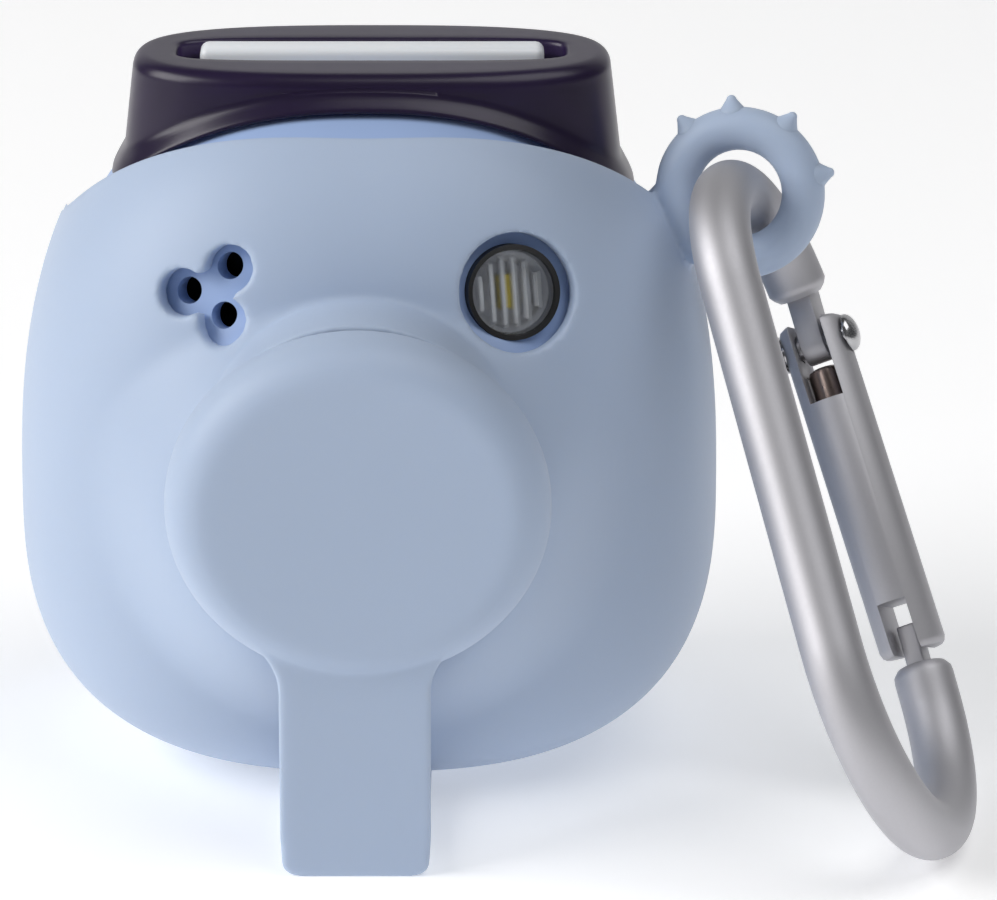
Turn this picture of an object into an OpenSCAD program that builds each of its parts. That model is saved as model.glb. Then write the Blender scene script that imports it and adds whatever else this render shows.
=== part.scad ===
// Palm-size instant-print companion camera in a silicone case.
// X runs to the viewer's right, -Y is the lens side, Z is up.
// The origin is the middle of the flat foot, Z = 0 is the table.

/* [Camera body] */
// Width of the bare camera
body_w = 42.5; // [38:0.1:48]
// Depth of the bare camera without the lens
body_d = 36.0; // [30:0.1:42]
// Height of the widest level above the table
waist_z = 17.8; // [14:0.1:22]
// Height of the top of the dome above the waist
dome_h = 27.0; // [22:0.1:32]
// Height of the camera's flat underside
base_z = 1.5; // [1.2:0.1:3]
// Thickness of the camera covers
cover_t = 1.4; // [1:0.1:2]

/* [Silicone case] */
// Thickness of the silicone case
case_t = 1.4; // [1:0.1:2.2]
// Half-width of the top opening
rim_a = 19.6; // [16:0.1:20]
// How far the top opening reaches forward
rim_b = 12.5; // [9:0.1:14]
// Height of the rim at the two sides
rim_z = 35.75; // [30:0.05:40]
// Fall of the rim towards the rear, in degrees
rim_fall = 18.3; // [5:0.1:30]
// Height of the lens centre
lens_z = 24.4; // [20:0.1:28]
// Sideways position of the lens cap centre
lens_x = -0.3; // [-2:0.1:2]
// Width of the collar round the lens hole
collar_w = 0.7; // [0.5:0.1:1.2]
// How far the lens boss swells forward
boss_h = 4.2; // [2:0.1:6]
// Radius of the flat part of the lens boss
boss_r = 10.5; // [9:0.1:12]
// Radius where the lens boss has died away
boss_out = 17.5; // [14:0.1:20]

/* [Lens cap and strap] */
// Height of the lens cap
cap_dia = 22.3; // [20:0.1:26]
// How much wider than high the lens cap is
cap_wide = 1.7; // [0.2:0.1:3]
// Height of the middle of the lens cap
cap_z = 23.9; // [20:0.1:28]
// Y of the front face of the lens cap
cap_front = -28.1; // [-30:0.1:-26]
// Y of the back face of the lens cap
cap_back = -24.2; // [-26:0.1:-23]
// Width of the cap strap
strap_w = 9.4; // [7:0.1:12]
// Thickness of the cap strap
strap_t = 1.5; // [1:0.1:2.5]
// Height of the fold line of the strap
fold_z = 1.75; // [1:0.05:3]
// Y of the fold line of the strap
fold_y = -26.6; // [-28:0.1:-24]

/* [Flash and speaker] */
// Sideways position of the flash
flash_x = 9.8; // [7:0.1:12]
// Height of the flash
flash_z = 35.1; // [30:0.1:38]
// Upward tilt of the flash, in degrees
flash_up = 14; // [0:1:25]
// Outward tilt of the flash, in degrees
flash_out = 17.5; // [0:0.5:30]
// Diameter of the flash window
flash_dia = 6.0; // [5:0.1:8]
// Sideways position of the speaker
spk_x = -9.9; // [-12:0.1:-7]
// Height of the speaker
spk_z = 34.8; // [30:0.1:38]
// Upward tilt of the speaker, in degrees
spk_up = 10; // [0:1:25]
// Outward tilt of the speaker, in degrees
spk_out = -19; // [-30:0.5:0]
// Diameter of one speaker hole
spk_hole = 1.7; // [1:0.1:2.5]

/* [Detachable ring] */
// Half-width of the ring at its top
ring_a = 15.4; // [13:0.1:17]
// Half-depth of the ring at its top
ring_b = 7.1; // [6:0.1:9]
// Height of the top of the ring
ring_z = 46.7; // [44:0.1:50]
// Wall thickness of the ring
ring_t = 1.2; // [0.8:0.1:2]
// Width of the slot in the ring
slot_w = 25.0; // [20:0.1:27]
// Depth of the slot in the ring, front to back
slot_d = 5.4; // [3:0.1:7]
// Width of the pale rail that stands in the slot
rail_w = 21.8; // [18:0.1:24]
// Depth of the rail, front to back
rail_d = 2.2; // [2:0.1:5]

/* [Carabiner] */
// Diameter of the carabiner rod
rod = 3.9; // [3:0.1:5]
// Overall length of the carabiner, rod centre to rod centre
clip_l = 42.9; // [38:0.1:50]
// Radius of the top bend
top_r = 8.45; // [8:0.05:11]
// Radius of the bottom bend
low_r = 10.3; // [9:0.1:13]
// Diameter of the gate
gate_dia = 4.4; // [3.6:0.1:5]
// Length of the gate from pivot to tip
gate_l = 21.1; // [16:0.1:24]
// Lean of the gate away from the spine
gate_lean = 8.2; // [0:0.1:12]
// Outside diameter of the spiked loop
loop_dia = 11.1; // [9:0.1:13]
// Thickness of the spiked loop
loop_t = 2.8; // [2:0.1:4]

/* [Controls] */
// Diameter of the shutter button
shutter_dia = 12.6; // [8:0.1:16]
// Height of the shutter button
shutter_z = 19.0; // [16:0.1:22]
// Diameter of the power button
power_dia = 5.0; // [4:0.1:7]
// Height of the side controls
side_z = 20.0; // [14:0.1:26]

/* [Hidden] */
$fn = 64;
round_up = 2.6;
round_depth = 3.6;
round_down = 2.7;
round_plan = 2.6;
ctrl_y = 4.6;
slide_z = side_z - 6.6;
port_y = 4.1;
nut_y = 5.2;
port_z = 18.2;
boss_at = [[-15.5, 9.2], [15.5, 9.2], [-16.6, 28], [16.6, 28]];
light_z = 33.0;
skin_y = -16.8;
spk_dots = [[-0.12, -1.75], [-1.9, 0.8], [1.2, 0.75]];
spk_lobes = [[-0.11, -1.73], [-1.85, 1.24], [1.44, 1.15]];
spk_mid = [-0.17, 0.22];
ring_x = 0.3;
ring_y = -0.7;
loop_at = [23.95, -4.7, 38.2];
clip_at = [24.0, -4.75, 38.15];
clip_turn = [-26.6, 27.5, 66.3];
pivot = [8.5, 0, -8.6];

// ---------- shared shapes ----------

// signed power, used for the soft squarish curves
function spow(v, e) = sign(v) * pow(abs(v), e);

// swelling of the front round the lens, shorter above it than below
function swell(x, z) =
    let(
        dz = z - lens_z + 1.9,
        r = norm([x - lens_x, dz > 0 ? 1.4 * dz : dz])
    )
    r < boss_r ? 1 : (r > boss_out ? 0 : (1 + cos(180 * (r - boss_r) / (boss_out - boss_r))) / 2);

// one point on the pillow-shaped body; a is the way round, v the level
function skin(hw, hd, up, down, bump, a, v) =
    let(
        rd = v > 0 ? round_up : round_down,
        r = pow(cos(v), 2 / rd),
        ry = v > 0 ? pow(cos(v), 2 / round_depth) : r,
        z = waist_z + (v > 0 ? up : down) * spow(sin(v), 2 / rd),
        x = hw * r * spow(cos(a), 2 / round_plan),
        y = hd * ry * spow(sin(a), 2 / round_plan)
    )
    [x, y - (y < 0 ? bump * swell(x, z) * min(1, -y / hd * 1.6) : 0), z];

// closed pillow-shaped solid, flat at its foot
module pillow(hw, hd, up, down, bump, foot, around, levels) {
    low = asin(pow((waist_z - foot) / down, round_down / 2));
    pts = [
        for (j = [0 : levels])
            let(v = -low + (low + 88) * j / levels)
            for (i = [0 : around - 1])
                skin(hw, hd, up, down, bump, 360 * i / around, v)
    ];
    n = len(pts);
    foot_pt = [0, 0, foot];
    top_pt = [0, 0, waist_z + up];
    faces = concat(
        [for (j = [0 : levels - 1]) for (i = [0 : around - 1])
            [j * around + i, (j + 1) * around + i, (j + 1) * around + (i + 1) % around]],
        [for (j = [0 : levels - 1]) for (i = [0 : around - 1])
            [j * around + i, (j + 1) * around + (i + 1) % around, j * around + (i + 1) % around]],
        [for (i = [0 : around - 1]) [i, (i + 1) % around, n]],
        [for (i = [0 : around - 1]) [levels * around + (i + 1) % around, levels * around + i, n + 1]]
    );
    polyhedron(points = concat(pts, [foot_pt, top_pt]), faces = faces, convexity = 4);
}

// the bare camera grown by g on every side
module body_shape(g, around = 40, levels = 20) {
    pillow(body_w / 2 + g, body_d / 2 + g, dome_h + g, 17.0 + g, boss_h, base_z - g, around, levels);
}

// rod along Y through [x, z] between two Y values
module yrod(x, z, r, y0, y1) {
    translate([x, y1, z])
        rotate([90, 0, 0])
            cylinder(r = r, h = y1 - y0);
}

// rod along X through [y, z] between two X values
module xrod(y, z, r, x0, x1) {
    translate([x0, y, z])
        rotate([0, 90, 0])
            cylinder(r = r, h = x1 - x0);
}

// box given by its two corners
module block(a, b) {
    translate(a)
        cube([b[0] - a[0], b[1] - a[1], b[2] - a[2]]);
}

// flat plate facing Y with rounded corners, centred on [x, z]
module yplate(x, z, w, h, r, y0, y1) {
    translate([x, y1, z])
        rotate([90, 0, 0])
            linear_extrude(y1 - y0)
                rounded(w, h, r);
}

// outline with rounded corners made of plain pieces
module rounded(w, h, r) {
    square([w - 2 * r, h], center = true);
    square([w, h - 2 * r], center = true);
    for (sx = [-1, 1]) {
        for (sy = [-1, 1]) {
            translate([sx * (w / 2 - r), sy * (h / 2 - r)])
                circle(r = r, $fn = 24);
        }
    }
}

// soft squarish oval, half sizes a and b
module oval(a, b, e, n) {
    polygon([
        for (i = [0 : n - 1])
            let(t = 360 * i / n)
            [a * spow(cos(t), 2 / e), b * spow(sin(t), 2 / e)]
    ]);
}

// places things square to the rounded front; local z points out of it
module tilted(x, z, up, out) {
    translate([x, skin_y, z])
        rotate([0, 90 - up, out - 90])
            children();
}

module flash_frame() {
    tilted(flash_x, flash_z, flash_up, flash_out)
        children();
}

module speaker_frame() {
    tilted(spk_x, spk_z, spk_up, spk_out)
        children();
}

// round rods of radius r at the given spots
module rods(spots, r, z0, z1) {
    for (p = spots) {
        translate([p[0], p[1], z0])
            cylinder(r = r, h = z1 - z0);
    }
}

// places things in the leaning plane of the carabiner
module clip_frame() {
    translate(clip_at)
        rotate(clip_turn)
            children();
}

// ---------- silicone case ----------

module silicone_case() {
    color([0.70, 0.76, 0.86])
    difference() {
        union() {
            body_shape(case_t + 0.1);
            yrod(lens_x, lens_z, 9.9 + collar_w, -23.5, -14);
        }
        body_shape(0.1);
        top_opening();
        yrod(lens_x, lens_z, 9.9, -40, -10);
        flash_frame()
            rods([[0, 0]], 3.75, -7, 4);
        speaker_frame() {
            rods(spk_lobes, 1.55, -7, 4);
            rods([spk_mid], 1.5, -7, 4);
        }
        yrod(0, shutter_z, 7.3, 8, 30);
        xrod(ctrl_y, side_z, 3.3, 10, 30);
        block([10, ctrl_y - 3.3, slide_z - 1.9], [30, ctrl_y + 3.3, slide_z + 1.9]);
        block([-30, port_y - 4.1, port_z - 9.2], [-10, port_y + 4.1, port_z + 7.3]);
        translate([0, nut_y, -5])
            cylinder(r = 4.2, h = 12);
    }
}

// space over the rim: an oval in front, a plane falling to the rear behind
module top_opening() {
    drop = 40 * tan(rim_fall);
    translate([0, 0, 30])
        linear_extrude(30)
            oval(rim_a, rim_b, 2.0, 48);
    rotate([90, 0, 90])
        linear_extrude(80, center = true)
            polygon([[0, rim_z], [40, rim_z - drop], [40, 60], [0, 60]]);
}

// tongue under the case that carries the strap to its fold
module strap_root() {
    color([0.66, 0.72, 0.83])
    difference() {
        block([lens_x - strap_w / 2, fold_y + 0.45, 0], [lens_x + strap_w / 2, -5, 1.4]);
        body_shape(case_t + 0.15);
    }
}

module lens_cap() {
    color([0.66, 0.72, 0.83])
    difference() {
        translate([lens_x, cap_front, cap_z]) {
            for (s = [-1, 1]) {
                translate([s * cap_wide / 2, 0, 0])
                    rotate([-90, s * 90, 0])
                        rotate_extrude(angle = 180)
                            cap_profile();
            }
            translate([-cap_wide / 2, 0, 0])
                rotate([90, 0, 90])
                    linear_extrude(cap_wide)
                        cap_section();
        }
        block([-20, cap_back, 0], [20, cap_back + 5, 50]);
        yrod(lens_x, lens_z, 9.6, cap_back - 1.5, cap_back + 1);
    }
}

// half section of the cap, front face at y = 0
module cap_profile() {
    t = cap_back - cap_front;
    r = 2.6;
    square([cap_dia / 2 - r, t]);
    translate([0, r])
        square([cap_dia / 2, t - r]);
    translate([cap_dia / 2 - r, r])
        circle(r = r);
}

// whole upright section of the cap, front face at x = 0
module cap_section() {
    t = cap_back - cap_front;
    r = 2.6;
    h = cap_dia / 2;
    translate([0, -h + r])
        square([t, 2 * h - 2 * r]);
    translate([r, -h])
        square([t - r, 2 * h]);
    for (s = [-1, 1]) {
        translate([r, s * (h - r)])
            circle(r = r);
    }
}

module cap_strap() {
    color([0.62, 0.68, 0.79])
    difference() {
        block(
            [lens_x - strap_w / 2, cap_front + 0.8, fold_z + 0.1],
            [lens_x + strap_w / 2, cap_front + 0.8 + strap_t, cap_z - cap_dia / 2 + 1.5]
        );
        for (s = [-1, 1]) {
            yrod(lens_x + s * cap_wide / 2, cap_z, cap_dia / 2 + 0.02, cap_front - 2, cap_back + 4);
        }
        block(
            [lens_x - cap_wide / 2, cap_front - 2, cap_z - cap_dia / 2 - 0.02],
            [lens_x + cap_wide / 2, cap_back + 4, cap_z]
        );
    }
}

// ring-shaped lug with blunt spikes that the carabiner hangs in
module carabiner_loop() {
    tube = loop_t / 2;
    mid = loop_dia / 2 - tube;
    color([0.60, 0.67, 0.78])
    difference() {
        union() {
            translate(loop_at)
                rotate([-11, 0, -13]) {
                    rotate([90, 0, 0])
                        rotate_extrude()
                            translate([mid, 0])
                                circle(r = tube);
                    for (a = [16, 58, 98, 132, 185]) {
                        rotate([0, -a, 0])
                            translate([mid + tube - 0.25, 0, 0])
                                rotate([0, 90, 0])
                                    cylinder(r1 = 0.8, r2 = 0.3, h = 1.15, $fn = 24);
                    }
                }
            hull() {
                translate([20.9, -4.0, 35.3])
                    sphere(r = 1.45, $fn = 24);
                translate([18.4, -3.4, 33.2])
                    sphere(r = 1.9, $fn = 24);
            }
        }
        body_shape(case_t + 0.15);
        translate(loop_at)
            rotate([-11, 0, -13])
                rotate([90, 0, 0])
                    cylinder(r = mid - tube, h = 20, center = true);
    }
}

// ---------- camera covers ----------

module cover_shell() {
    difference() {
        body_shape(0);
        body_shape(-cover_t);
    }
}

module front_cover() {
    color([0.62, 0.70, 0.84]) {
        difference() {
            cover_shell();
            block([-40, 0, -5], [40, 60, 60]);
            yrod(lens_x, lens_z, 9.35, -40, -10);
            flash_frame()
                rods([[0, 0]], flash_dia / 2 + 0.05, -12, 4);
            speaker_frame()
                rods(spk_dots, spk_hole / 2, -7, 4);
        }
        intersection() {
            for (p = boss_at) {
                difference() {
                    yrod(p[0], p[1], 1.9, -14, -0.1);
                    yrod(p[0], p[1], 0.62, -6, 1);
                }
            }
            body_shape(-cover_t + 0.05);
        }
    }
}

module rear_cover() {
    color([0.62, 0.70, 0.84])
    difference() {
        union() {
            difference() {
                cover_shell();
                block([-40, -60, -5], [40, 0, 60]);
            }
            intersection() {
                for (p = boss_at) {
                    yrod(p[0], p[1], 2.3, 0.1, 20);
                }
                body_shape(-cover_t + 0.05);
            }
        }
        yrod(0, shutter_z, shutter_dia / 2 + 0.3, 8, 30);
        yrod(0, light_z, 0.85, 8, 30);
        xrod(ctrl_y, side_z, power_dia / 2 + 0.3, 10, 30);
        block([10, ctrl_y - 2.8, slide_z - 1.4], [30, ctrl_y + 2.8, slide_z + 1.4]);
        block([-30, port_y - 3.8, port_z - 7.8], [-10, port_y + 3.8, port_z + 7.0]);
        translate([0, nut_y, -5])
            cylinder(r = 3.6, h = 12);
        for (p = boss_at) {
            yrod(p[0], p[1], 0.7, -1, 30);
            yrod(p[0], p[1], 1.7, 3.4, 30);
        }
    }
}

// pale rail on top of the dome that the ring clips to
module ring_rail() {
    color([0.80, 0.84, 0.90])
    difference() {
        translate([ring_x, 0.5, 40])
            linear_extrude(ring_z + 0.05 - 40)
                rounded(rail_w, rail_d, 0.9);
        body_shape(0.05);
    }
}

module detachable_ring() {
    color([0.25, 0.21, 0.32])
    difference() {
        union() {
            difference() {
                ring_shell(0);
                difference() {
                    ring_shell(ring_t);
                    block([-40, -40, ring_z - ring_t], [40, 40, ring_z + 5]);
                }
            }
            difference() {
                intersection() {
                    ring_shell(-0.65);
                    body_shape(1.15, 28, 14);
                }
                ring_shell(ring_t);
            }
            block([-13.5, 3.6, 38], [14.1, 4.6, ring_z - 0.5]);
            block([-10.5, -6.4, 40], [11.1, -5.4, ring_z - 0.5]);
        }
        translate([ring_x, ring_y, 38])
            linear_extrude(20)
                rounded(slot_w, slot_d, 2.2);
        body_shape(0.35);
        block([-40, -40, 0], [40, 40, 36.9]);
    }
}

// the flared outside of the ring shrunk by g
module ring_shell(g) {
    hull() {
        translate([ring_x, ring_y, ring_z - 0.01])
            linear_extrude(0.01)
                oval(ring_a - 1 - g, ring_b - 1 - g, 2.7, 48);
        translate([ring_x, ring_y, ring_z - 1.0])
            linear_extrude(0.01)
                oval(ring_a - g, ring_b - g, 2.7, 48);
        translate([ring_x, ring_y, 36])
            linear_extrude(0.01)
                oval(ring_a + 1.1 - g, ring_b + 1.4 - g, 2.7, 48);
    }
}

// ---------- lens ----------

module lens_barrel() {
    color([0.10, 0.10, 0.11])
    translate([lens_x, 0, lens_z])
        difference() {
            union() {
                yrod(0, 0, 9.2, -24.9, -15.0);
                yrod(0, 0, 7.6, -15.0, -9.0);
            }
            yrod(0, 0, 7.2, -26, -24.1);
            yrod(0, 0, 6.4, -24.2, -10.4);
            yrod(0, 0, 3.4, -11, -8);
        }
}

module lens_front_glass() {
    color([0.12, 0.14, 0.18])
    yrod(lens_x, lens_z, 7.15, -24.75, -24.1);
}

// a stack of three round glasses inside the barrel
module lens_elements() {
    color([0.55, 0.62, 0.70])
    translate([lens_x, 0, lens_z]) {
        for (e = [[-21.6, 6.3, 14, 2.4], [-17.2, 5.0, 11, 2.2], [-13.4, 4.2, 10, 1.8]]) {
            translate([0, e[0], 0])
                intersection() {
                    translate([0, e[2] - e[3] / 2, 0])
                        sphere(r = e[2], $fn = 200);
                    translate([0, -e[2] + e[3] / 2, 0])
                        sphere(r = e[2], $fn = 200);
                    yrod(0, 0, e[1], -3, 3);
                }
        }
    }
}

module lens_spacer() {
    color([0.15, 0.15, 0.16])
    translate([lens_x, 0, lens_z]) {
        difference() {
            yrod(0, 0, 6.35, -19.9, -18.9);
            yrod(0, 0, 4.3, -21, -18);
        }
        difference() {
            yrod(0, 0, 6.35, -15.9, -14.6);
            yrod(0, 0, 3.6, -17, -14);
        }
    }
}

module image_sensor() {
    color([0.20, 0.24, 0.22])
    yplate(lens_x, lens_z, 6.2, 5.2, 0.3, -8.98, -7.9);
}

module sensor_board() {
    color([0.10, 0.34, 0.22])
    yplate(lens_x, lens_z, 16, 15, 1.5, -7.88, -7.0);
}

// flat cable from the sensor board to the main board
module sensor_flex() {
    color([0.78, 0.50, 0.18]) {
        block([lens_x - 3, -6.98, 30.8], [lens_x + 3, -6.78, 35.2]);
        block([lens_x - 3, -6.98, 35.2], [lens_x + 3, 2.18, 35.4]);
        block([lens_x - 3, 1.98, 32.0], [lens_x + 3, 2.18, 35.2]);
    }
}

// ---------- boards and power ----------

module main_board() {
    color([0.08, 0.32, 0.22])
    difference() {
        yplate(0, 22.4, 27, 28, 3, 2.2, 3.2);
        block([-20, 0, port_z - 4.3], [-11.4, 5, port_z + 4.3]);
        for (p = [[-11.5, 11.5], [11.5, 11.5], [-11.5, 33], [11.5, 33]]) {
            yrod(p[0], p[1], 0.9, 1, 5);
        }
    }
}

module board_chips() {
    color([0.12, 0.12, 0.13]) {
        block([-11.5, 3.21, 27.5], [-4.5, 4.2, 34.0]);
        block([5.0, 3.21, 28.5], [11.0, 4.1, 32.0]);
        block([3.6, 3.21, 12.4], [9.0, 4.1, 17.8]);
        for (i = [0 : 3]) {
            block([5.2 + i * 1.7, 3.21, 24.6], [6.2 + i * 1.7, 3.8, 26.2]);
        }
    }
}

module battery() {
    color([0.80, 0.81, 0.83]) {
        yplate(0, 21.6, 22.8, 26, 1.6, -6.4, 1.4);
        block([-9, -5.6, 34.61], [-5.5, 0.4, 35.3]);
    }
}

module speaker() {
    color([0.16, 0.16, 0.17])
    speaker_frame()
        difference() {
            union() {
                rods([[0, 0]], 3.0, -6.8, -4.42);
                rods([[0, 0]], 2.1, -7.8, -6.8);
            }
            rods([[0, 0]], 2.5, -4.9, -4);
        }
}

module speaker_mesh() {
    color([0.05, 0.05, 0.05])
    speaker_frame()
        difference() {
            rods([[0, 0]], 2.9, -4.4, -4.07);
            for (i = [-1 : 1]) {
                for (j = [-1 : 1]) {
                    translate([i * 1.2, j * 1.2, -5])
                        cylinder(r = 0.3, h = 3, $fn = 24);
                }
            }
        }
}

module flash_window() {
    color([0.85, 0.90, 0.95])
    flash_frame()
        intersection() {
            rods([[0, 0]], flash_dia / 2, -3.3, -0.7);
            translate([0, 0, -6.8])
                sphere(r = 6.1);
        }
}

module flash_reflector() {
    color([0.75, 0.76, 0.78])
    flash_frame()
        translate([0, 0, -6.9])
            rotate_extrude()
                polygon([[1.2, 0], [2.95, 0], [2.95, 3.4], [2.4, 3.4], [1.7, 0.6], [1.2, 0.6]]);
}

module flash_led() {
    color([0.95, 0.85, 0.30])
    flash_frame()
        block([-1.0, -0.6, -6.98], [1.0, 0.6, -6.2]);
}

module flash_board() {
    color([0.10, 0.34, 0.22])
    flash_frame()
        rods([[0, 0]], 2.95, -7.8, -7.0);
}

// ---------- controls ----------

module shutter_button() {
    color([0.74, 0.79, 0.88]) {
        intersection() {
            yrod(0, shutter_z, shutter_dia / 2, 13.9, 18.7);
            translate([0, -21.3, shutter_z])
                sphere(r = 40, $fn = 300);
        }
        yrod(0, shutter_z, 6.9, 12.8, 13.9);
        yrod(0, shutter_z, 1.5, 6.6, 12.8);
    }
}

module shutter_switch() {
    color([0.20, 0.20, 0.21]) {
        yplate(0, shutter_z, 6, 6, 0.5, 3.21, 4.9);
        yrod(0, shutter_z, 1.6, 4.9, 5.7);
    }
}

module power_button() {
    color([0.74, 0.79, 0.88]) {
        xrod(ctrl_y, side_z, power_dia / 2, 17.4, 20.6);
        xrod(ctrl_y, side_z, 3.1, 16.6, 17.4);
    }
}

module mode_slider() {
    color([0.20, 0.21, 0.24]) {
        block([16.9, ctrl_y - 2.4, slide_z - 1.1], [20.5, ctrl_y - 0.2, slide_z + 1.1]);
        block([15.8, ctrl_y - 3.9, slide_z - 1.8], [16.9, ctrl_y + 1.3, slide_z + 1.8]);
    }
}

module usb_connector() {
    color([0.72, 0.73, 0.75])
    translate([-18.2, 2.7, port_z])
        rotate([0, 90, 0]) {
            difference() {
                linear_extrude(6.6)
                    rounded(8.2, 3.0, 1.3);
                translate([0, 0, -1])
                    linear_extrude(6.6)
                        rounded(7.6, 2.4, 1.0);
            }
            translate([0, 0, 0.6])
                linear_extrude(5.5)
                    square([6.2, 0.7], center = true);
        }
}

module card_socket() {
    color([0.70, 0.71, 0.73])
    difference() {
        block([-17.6, 4.6, port_z - 6.1], [-3.6, 6.5, port_z + 6.1]);
        block([-20, 4.95, port_z - 5.7], [-4.4, 6.1, port_z + 5.7]);
    }
}

module memory_card() {
    color([0.07, 0.07, 0.08])
    difference() {
        block([-18.3, 5.15, port_z - 5.4], [-5.4, 5.9, port_z + 5.4]);
        block([-9.6, 4, port_z + 4.4], [-4, 7, port_z + 8]);
    }
}

// hinged flap over the side sockets
module port_cover() {
    color([0.60, 0.66, 0.77])
    difference() {
        intersection() {
            block([-30, port_y - 3.5, port_z - 7.0], [-15.0, port_y + 3.5, port_z + 6.7]);
            body_shape(0, 28, 14);
        }
        body_shape(-1.3, 28, 14);
    }
}

// ---------- fixings ----------

module tripod_nut() {
    color([0.78, 0.66, 0.36])
    translate([0, nut_y, 1.7])
        difference() {
            union() {
                cylinder(r = 3.5, h = 3.3);
                translate([0, 0, 3.3])
                    cylinder(r = 5.0, h = 2.6, $fn = 6);
            }
            translate([0, 0, -1])
                cylinder(r = 2.6, h = 5.9);
        }
}

module cover_screws() {
    color([0.55, 0.55, 0.57])
    for (p = boss_at) {
        yrod(p[0], p[1], 0.6, -5.5, 3.4);
        difference() {
            yrod(p[0], p[1], 1.5, 3.4, 4.4);
            block([p[0] - 1.1, 3.9, p[1] - 0.2], [p[0] + 1.1, 5, p[1] + 0.2]);
            block([p[0] - 0.2, 3.9, p[1] - 1.1], [p[0] + 0.2, 5, p[1] + 1.1]);
        }
    }
}

module status_light() {
    color([0.90, 0.95, 0.90])
    yrod(0, light_z, 0.8, 8.0, 16.5);
}

// ---------- carabiner ----------

module carabiner_body() {
    r = rod / 2;
    lowx = low_r - top_r;
    lowz = -(clip_l - low_r);
    color([0.78, 0.78, 0.79])
    clip_frame()
    union() {
        difference() {
            translate([0, 0, -top_r])
                rotate([90, 0, 0])
                    rotate_extrude(angle = 180)
                        translate([top_r, 0])
                            circle(r = r);
            translate([3, -5, pivot[2] + 3.2 - 20])
                cube([20, 10, 20]);
        }
        translate([-top_r, 0, lowz])
            cylinder(r = r, h = -lowz - top_r);
        translate([lowx, 0, lowz])
            rotate([90, 0, 0])
                rotate([0, 0, 180])
                    rotate_extrude(angle = 180)
                        translate([low_r, 0])
                            circle(r = r);
        translate([lowx + low_r, 0, lowz])
            cylinder(r = r, h = 2.2);
        translate([lowx + low_r - 0.9, -0.6, lowz + 2.1])
            cube([1.6, 1.2, 3.0]);
        difference() {
            union() {
                translate(pivot)
                    rotate([90, 0, 0])
                        cylinder(r = 1.3, h = 1.6, center = true);
                translate([pivot[0] - 1.3, -0.8, pivot[2]])
                    cube([2.6, 1.6, 3.6]);
            }
            translate(pivot)
                rotate([90, 0, 0])
                    cylinder(r = 0.83, h = 6, center = true);
        }
    }
}

// places things along the gate, pivot at the origin, tip towards -Z
module gate_frame() {
    clip_frame()
        translate(pivot)
            rotate([0, -gate_lean, 0])
                children();
}

module carabiner_gate() {
    r = gate_dia / 2;
    color([0.80, 0.80, 0.81])
    gate_frame()
        difference() {
            translate([0, 0, -gate_l])
                cylinder(r = r, h = gate_l + 1.5);
            translate([-5, -1.15, -3.9])
                cube([10, 2.3, 9]);
            rotate([90, 0, 0])
                cylinder(r = 0.9, h = 10, center = true);
            translate([0, 0, -14])
                cylinder(r = 1.3, h = 12);
            translate([-5, -0.95, -gate_l - 1])
                cube([10, 1.9, 4.4]);
        }
}

module gate_rivet() {
    color([0.70, 0.70, 0.71])
    clip_frame()
        translate(pivot)
            rotate([90, 0, 0]) {
                cylinder(r = 0.82, h = 4.7, center = true);
                for (s = [0, 1]) {
                    mirror([0, 0, s])
                        translate([0, 0, 2.3])
                            intersection() {
                                translate([0, 0, -0.9])
                                    sphere(r = 1.55);
                                cylinder(r = 1.3, h = 2);
                            }
                }
            }
}

module gate_plunger() {
    color([0.62, 0.55, 0.50])
    gate_frame()
        translate([0, 0, -6.2])
            cylinder(r = 1.2, h = 4.6);
}

module gate_spring() {
    color([0.60, 0.60, 0.62])
    gate_frame()
        translate([0, 0, -13.6])
            rotate_extrude()
                for (i = [0 : 16]) {
                    translate([0.84, i * 0.44])
                        circle(r = 0.26, $fn = 24);
                }
}

silicone_case();
strap_root();
lens_cap();
cap_strap();
carabiner_loop();
front_cover();
rear_cover();
ring_rail();
detachable_ring();
lens_barrel();
lens_front_glass();
lens_elements();
lens_spacer();
image_sensor();
sensor_board();
sensor_flex();
main_board();
board_chips();
battery();
speaker();
speaker_mesh();
flash_window();
flash_reflector();
flash_led();
flash_board();
shutter_button();
shutter_switch();
power_button();
mode_slider();
usb_connector();
card_socket();
memory_card();
port_cover();
tripod_nut();
cover_screws();
status_light();
carabiner_body();
carabiner_gate();
gate_rivet();
gate_plunger();
gate_spring();
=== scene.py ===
import math
import bpy
import bmesh
import numpy as np
from mathutils import Vector, Matrix, Euler


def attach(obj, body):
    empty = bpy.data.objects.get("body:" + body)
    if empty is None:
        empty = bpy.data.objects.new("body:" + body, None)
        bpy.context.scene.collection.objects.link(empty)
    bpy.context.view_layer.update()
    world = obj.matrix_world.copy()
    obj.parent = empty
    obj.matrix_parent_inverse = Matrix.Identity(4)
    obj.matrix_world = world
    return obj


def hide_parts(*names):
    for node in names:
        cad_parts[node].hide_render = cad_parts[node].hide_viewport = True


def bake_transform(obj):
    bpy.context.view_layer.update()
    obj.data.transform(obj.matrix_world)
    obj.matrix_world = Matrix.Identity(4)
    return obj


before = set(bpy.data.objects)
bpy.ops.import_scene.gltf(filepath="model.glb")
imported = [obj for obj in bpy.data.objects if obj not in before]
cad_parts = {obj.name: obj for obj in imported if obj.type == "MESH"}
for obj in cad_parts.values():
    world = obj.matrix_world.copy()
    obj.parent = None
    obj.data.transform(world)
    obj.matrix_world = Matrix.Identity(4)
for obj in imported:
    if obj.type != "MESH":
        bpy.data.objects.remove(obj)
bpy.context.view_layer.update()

MM = 0.001
scene = bpy.context.scene

# ================================================================ sizes, in mm
# X runs to the right of the front view, Y to the rear, Z up from the table.

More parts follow.
